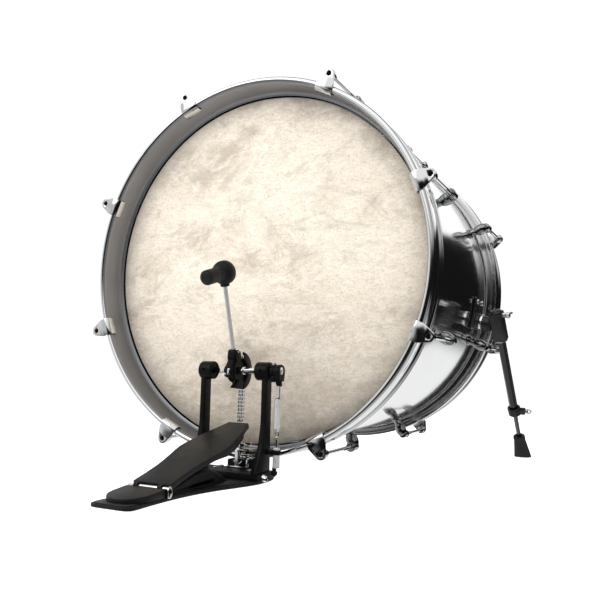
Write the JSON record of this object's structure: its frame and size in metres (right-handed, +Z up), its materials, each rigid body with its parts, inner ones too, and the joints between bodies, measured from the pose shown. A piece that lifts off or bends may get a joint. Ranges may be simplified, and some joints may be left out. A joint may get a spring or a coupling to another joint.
{
  "type": "bass drum",
  "caption": "Metal-shelled bass drum lying on its side, with claw-hook hoops, folding spurs and a chain-drive foot pedal clamped to the batter hoop.",
  "frame": {"origin": "on the floor under the middle of the whole outline, pedal and spur feet included", "axes": "+Y along the drum axis from the player's side to the audience's side, +Z up, +X to the player's right"},
  "size_m": [0.7162, 0.8174, 0.6196],
  "materials": {
    "polished_steel": "mirror-polished steel",
    "chrome": "bright chrome plate",
    "black_chrome": "black chrome plate",
    "black_enamel": "satin black enamel",
    "black_plastic": "matte black felt-touch plastic",
    "calf_film": "mottled cream calfskin-look polyester film",
    "clear_film": "smooth white polyester film",
    "rubber": "matte black rubber"
  },
  "bodies": {
    "drum": {"shell": "polished_steel", "batter_hoop": "polished_steel", "resonant_hoop": "polished_steel", "batter_head": "calf_film", "resonant_head": "clear_film", "batter_claw_1": "chrome", "batter_lug_1": "chrome", "batter_claw_2": "chrome", "batter_lug_2": "chrome", "batter_claw_3": "chrome", "batter_lug_3": "chrome", "batter_claw_4": "chrome", "batter_lug_4": "chrome", "batter_claw_5": "chrome", "batter_lug_5": "chrome", "batter_claw_6": "chrome", "batter_lug_6": "chrome", "batter_claw_7": "chrome", "batter_lug_7": "chrome", "batter_claw_8": "chrome", "batter_lug_8": "chrome", "resonant_claw_1": "chrome", "resonant_lug_1": "chrome", "resonant_claw_2": "chrome", "resonant_lug_2": "chrome", "resonant_claw_3": "chrome", "resonant_lug_3": "chrome", "resonant_claw_4": "chrome", "resonant_lug_4": "chrome", "resonant_claw_5": "chrome", "resonant_lug_5": "chrome", "resonant_claw_6": "chrome", "resonant_lug_6": "chrome", "resonant_claw_7": "chrome", "resonant_lug_7": "chrome", "resonant_claw_8": "chrome", "resonant_lug_8": "chrome", "spur_bracket_right": "black_chrome", "spur_bracket_left": "black_chrome", "pedal_base": "black_enamel", "heel_plate": "black_enamel", "post_left": "black_enamel", "post_right": "black_enamel", "hinge_pin": "chrome", "return_spring": "chrome"},
    "footboard": {"footboard": "black_enamel", "chain": "chrome"},
    "axle": {"axle": "chrome", "cam_hub": "black_enamel"},
    "beater": {"beater_shaft": "chrome", "beater_head": "black_plastic"},
    "spur_leg_right": {"spur_leg_right": "black_chrome"},
    "spur_leg_left": {"spur_leg_left": "black_chrome"},
    "spur_tip_right": {"spur_rod_right": "chrome", "spur_foot_right": "rubber"},
    "spur_tip_left": {"spur_rod_left": "chrome", "spur_foot_left": "rubber"},
    "clamp_jaw": {"clamp_jaw": "chrome"},
    "clamp_bolt": {"clamp_bolt": "chrome"}
  },
  "joints": [
    {"name": "axle_turn", "type": "hinge", "parent": "drum", "child": "axle", "pos_m": [0.007, -0.1467, 0.156], "axis": [-1, 0, 0], "range_deg": [0, 38], "stiffness_Nm_per_rad": 0.5, "springref_deg": -34.38, "deforming": ["return_spring"]},
    {"name": "beater_height", "type": "slide", "parent": "axle", "child": "beater", "axis": [0, -0.2924, 0.9563], "range_m": [0, 0.015]},
    {"name": "footboard_press", "type": "hinge", "parent": "drum", "child": "footboard", "pos_m": [0.007, -0.3377, 0.0145], "axis": [-1, 0, 0], "range_deg": [0, 3.7], "deforming": ["chain"]},
    {"name": "spur_fold_right", "type": "hinge", "parent": "drum", "child": "spur_leg_right", "pos_m": [0.31634, 0.2459, 0.24488], "axis": [0.9715, 0, -0.2368], "range_deg": [-115, 12]},
    {"name": "spur_fold_left", "type": "hinge", "parent": "drum", "child": "spur_leg_left", "pos_m": [-0.31634, 0.2459, 0.24488], "axis": [0.9715, 0, 0.2368], "range_deg": [-115, 12]},
    {"name": "spur_length_right", "type": "slide", "parent": "spur_leg_right", "child": "spur_tip_right", "axis": [0.0622, 0.5075, -0.8594], "range_m": [-0.02, 0.06]},
    {"name": "spur_length_left", "type": "slide", "parent": "spur_leg_left", "child": "spur_tip_left", "axis": [-0.0622, 0.5075, -0.8594], "range_m": [-0.02, 0.06]},
    {"name": "clamp_slide", "type": "slide", "parent": "drum", "child": "clamp_jaw", "axis": [0, 0, 1], "range_m": [0, 0.002]},
    {"name": "clamp_turn", "type": "hinge", "parent": "clamp_jaw", "child": "clamp_bolt", "pos_m": [0.007, -0.1247, 0.0243], "axis": [0, 0, 1], "range_deg": [0, 720]}
  ],
  "couplings": [
    {"joint": "footboard_press", "follows": "axle_turn", "ratio": 0.097},
    {"joint": "clamp_turn", "follows": "clamp_slide", "rad_per_m": 6283.2}
  ]
}
